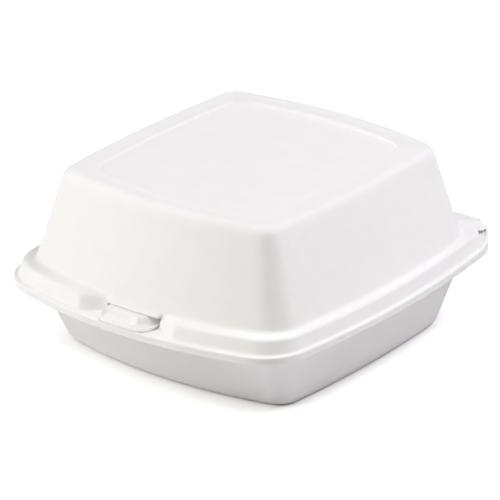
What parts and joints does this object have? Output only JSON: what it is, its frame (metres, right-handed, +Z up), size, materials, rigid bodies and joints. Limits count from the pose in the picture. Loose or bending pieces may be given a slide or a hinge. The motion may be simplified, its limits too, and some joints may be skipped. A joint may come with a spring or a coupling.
{
  "type": "food container",
  "caption": "White foam hinged sandwich box, closed: domed lid with a sunk square top panel, deep tray, full-width hinge band and a tongue latch at the front.",
  "frame": {"origin": "on the table, under the middle of the closed box's width and depth", "axes": "+Z is up, -Y is the front with the latch, +Y is the back with the hinge, +X is to the right seen from the front"},
  "size_m": [0.147, 0.1598, 0.0762],
  "materials": {
    "foam": "white expanded polystyrene foam sheet, matte with a faint satin skin"
  },
  "bodies": {
    "base": {"base_tray": "foam"},
    "cover": {"lid": "foam"}
  },
  "joints": [
    {"name": "lid_hinge", "type": "hinge", "parent": "base", "child": "cover", "pos_m": [0, 0.0799, 0.03015], "axis": [-1, 0, 0], "range_deg": [0, 147]}
  ]
}
